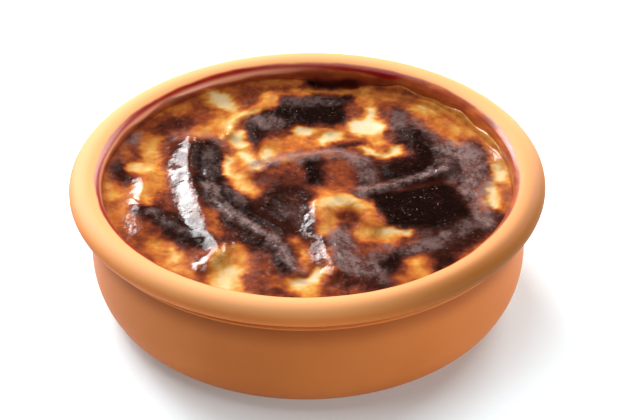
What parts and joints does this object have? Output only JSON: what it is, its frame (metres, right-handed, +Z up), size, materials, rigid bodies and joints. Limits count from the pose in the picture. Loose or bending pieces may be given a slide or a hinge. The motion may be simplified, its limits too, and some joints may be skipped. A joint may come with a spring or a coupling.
{
  "type": "rice pudding",
  "caption": "Oven-baked rice pudding with a browned, folded skin in a small round terracotta dish with a rolled rim.",
  "frame": {"origin": "centre of the dish's flat base, on the surface it stands on", "axes": "+Z up through the middle of the dish, +X to the right and +Y to the back as the dish is seen"},
  "size_m": [0.125, 0.125, 0.0373],
  "materials": {
    "terracotta": "unglazed orange terracotta, satin, with a glossy dark red-brown glaze inside",
    "baked_pudding": "glossy baked milk skin, from pale cream through orange to nearly black"
  },
  "bodies": {
    "root": {"dish": "terracotta", "pudding": "baked_pudding"}
  },
  "joints": []
}
